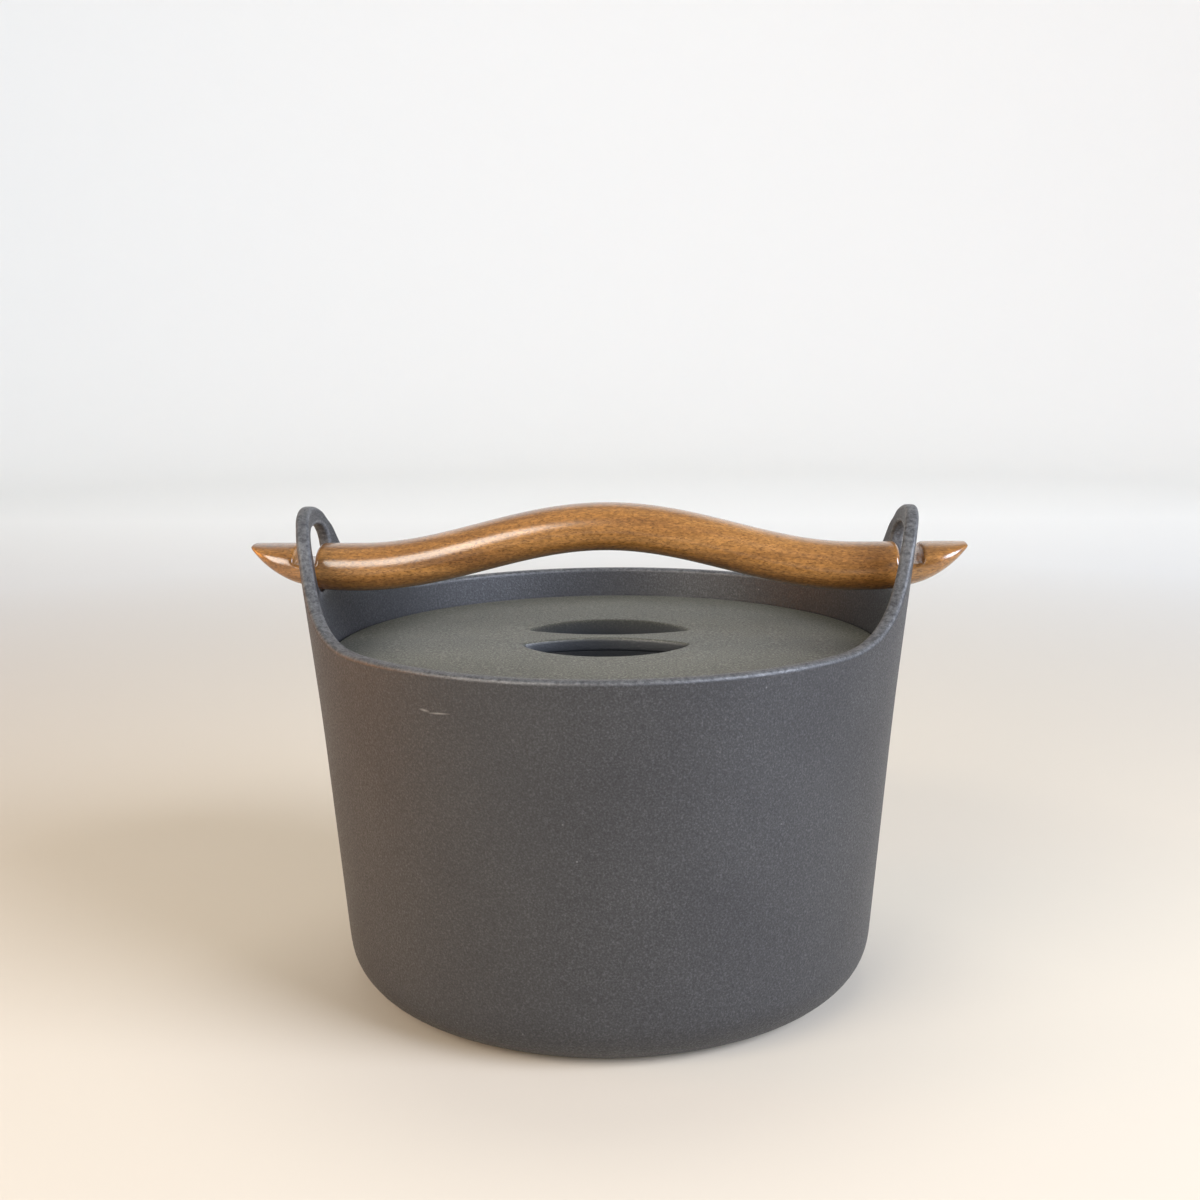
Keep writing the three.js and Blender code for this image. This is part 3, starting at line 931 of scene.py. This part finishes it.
# Under the lacquer the wood hardly mirrors by itself. The lacquer's IOR is set above the usual 1.5,
# to match the strong highlights of the photo.
surface.inputs["Roughness"].default_value = 0.42
surface.inputs["Specular IOR Level"].default_value = 0.1
surface.inputs["Coat Weight"].default_value = 1
surface.inputs["Coat Roughness"].default_value = 0.22
surface.inputs["Coat IOR"].default_value = 1.7
handle.data.materials.append(material)
print("teak on", handle.name)

# %% [markdown]
# ## Stage and light
#
# A pale floor sweeps up into a wall far behind, as in a photo studio, so that no horizon cuts the
# picture. A plane would do for the floor alone, but the lacquer mirrors the whole room. The wall is
# bright behind the pot and darker behind the camera, so that the mirrored room leaves the wood brown.

# %% Floor
# Matt paper gives the eye an even pale ground with soft shadows, a little deeper near the pot.
FLOOR_REACH = 1.7
FLOOR_COLUMNS = 96
COVE = 0.7
COVE_STEPS = 12
WALL_HEIGHT = 2.4
DARK_WALL_END = -0.2
BRIGHT_WALL_START = 1.2
NEAR_END = 0.3
FAR_START = 0.95
bm = bmesh.new()
sweep = [(0, 0), (FLOOR_REACH, 0)] + arc(FLOOR_REACH, COVE, COVE, -90, 0, COVE_STEPS)[1:]
spin_profile(bm, sweep + [(FLOOR_REACH + COVE, WALL_HEIGHT)], FLOOR_COLUMNS)
floor = mesh_object("studio_floor", bm)
material, tree, surface, place = new_material("matt pale paper")
away = add_node(tree, "ShaderNodeVectorMath", {0: place}, operation="LENGTH").outputs["Value"]
behind = add_node(tree, "ShaderNodeSeparateXYZ", {0: place}).outputs["Y"]
backdrop = add_node(
    tree, "ShaderNodeMapRange",
    {"Value": behind, "From Min": DARK_WALL_END, "From Max": BRIGHT_WALL_START},
)
wall = add_node(
    tree, "ShaderNodeMix", {0: backdrop.outputs[0], MIX_A: linear("#77736e"), MIX_B: linear("#ecece9")},
    data_type="RGBA",
)
far = add_node(
    tree, "ShaderNodeMapRange", {"Value": away, "From Min": NEAR_END, "From Max": FAR_START}
)
paper = add_node(
    tree, "ShaderNodeMix", {0: far.outputs[0], MIX_A: linear("#c6bdad"), MIX_B: wall.outputs[MIX_OUT]},
    data_type="RGBA",
)
tree.links.new(paper.outputs[MIX_OUT], surface.inputs["Base Color"])
surface.inputs["Roughness"].default_value = 0.85
floor.data.materials.append(material)
print("floor", round(2 * FLOOR_REACH, 1), "m across")

# %% Lights
# Place, point aimed at, diameter, watts and tint of each lamp. Two large soft lamps stand in front, a
# warm one on the left and a stronger cool one on the right. The glint shows only in reflections, as a
# bright window would. The warm light stands low on the left, for the brown tint of that side. The
# last lamp lights the wall behind, which the lid then mirrors, and isn't mirrored itself.
AT_POT = (0, 0, RIM_HEIGHT / 2)
LAMPS = {
    "key_light": ((-0.66, -0.86, 0.6), AT_POT, 1.0, 14, "#fff4e6"),
    "glint": ((-0.62, -0.8, 0.56), AT_POT, 0.95, 9, "#fffcf6"),
    "cool_light": ((1.25, -0.7, 0.7), AT_POT, 1.1, 56, "#e2ebff"),
    "warm_light": ((-1.2, 0, 0.12), AT_POT, 0.5, 6, "#ffa03c"),
    "wall_light": ((0, 0.7, 1.9), (0, FLOOR_REACH, 0.2), 1.4, 18, "#fffefa"),
}
for name, (place, target, size, power, tint) in LAMPS.items():
    lamp = bpy.data.lights.new(name, "AREA")
    lamp.shape = "DISK"
    lamp.size = size
    lamp.energy = power
    lamp.color = linear(tint)[:3]
    holder = bpy.data.objects.new(name, lamp)
    holder.location = place
    holder.rotation_euler = (Vector(target) - Vector(place)).to_track_quat("-Z", "Y").to_euler()
    holder.visible_camera = False
    holder.visible_diffuse = name != "glint"
    holder.visible_glossy = name != "wall_light"
    bpy.context.scene.collection.objects.link(holder)
world = bpy.data.worlds.new("pale room")
world.use_nodes = True
sky = world.node_tree.nodes["Background"]
sky.inputs["Color"].default_value = linear("#f0f4fa")
sky.inputs["Strength"].default_value = 0.26
bpy.context.scene.world = world
bpy.context.scene.view_settings.view_transform = "Standard"
print(len(LAMPS), "soft lights")

# %% [markdown]
# ## Camera
#
# The camera stands where the photo was taken from. It could be placed by eye, but the ellipses of the
# rim and the base and the height of the ears tell more: how far away it is, how high, how far it
# looks down, how far round to the right it stands, and how much the picture is tilted.

# %% Camera at the photo's angle
# PICTURE, FOCAL_PIXELS and AXIS_PIXEL are in pixels of the photo, LOOK_DOWN and TILT in radians.
PICTURE = 1200
FOCAL_PIXELS = 1600
SENSOR = 36
DISTANCE = 548.5 * MM
CAMERA_HEIGHT = 233.9 * MM
LOOK_DOWN = 0.1829
ROUND = math.radians(2.8)
TILT = 0.010
AXIS_PIXEL = 606.7
lens = bpy.data.cameras.new("photo_camera")
lens.sensor_width = SENSOR
lens.lens = SENSOR * FOCAL_PIXELS / PICTURE
lens.shift_x = (PICTURE / 2 - AXIS_PIXEL) / PICTURE
lens.clip_start = 10 * MM
camera = bpy.data.objects.new("photo_camera", lens)
stand = Matrix.Rotation(ROUND, 4, "Z") @ Matrix.Translation((0, -DISTANCE, CAMERA_HEIGHT))
aim = Matrix.Rotation(math.pi / 2 - LOOK_DOWN, 4, "X") @ Matrix.Rotation(-TILT, 4, "Z")
camera.matrix_world = stand @ aim
bpy.context.scene.collection.objects.link(camera)
bpy.context.scene.camera = camera
print("camera at", [round(side / MM, 1) for side in camera.matrix_world.translation], "mm")

# %% [markdown]
# ## Last step
#
# The sizes of the CAD model were read from it where they were needed. When every piece is finished,
# the scene is brought up to date once more.

# %% Bring the scene up to date
bpy.context.view_layer.update()
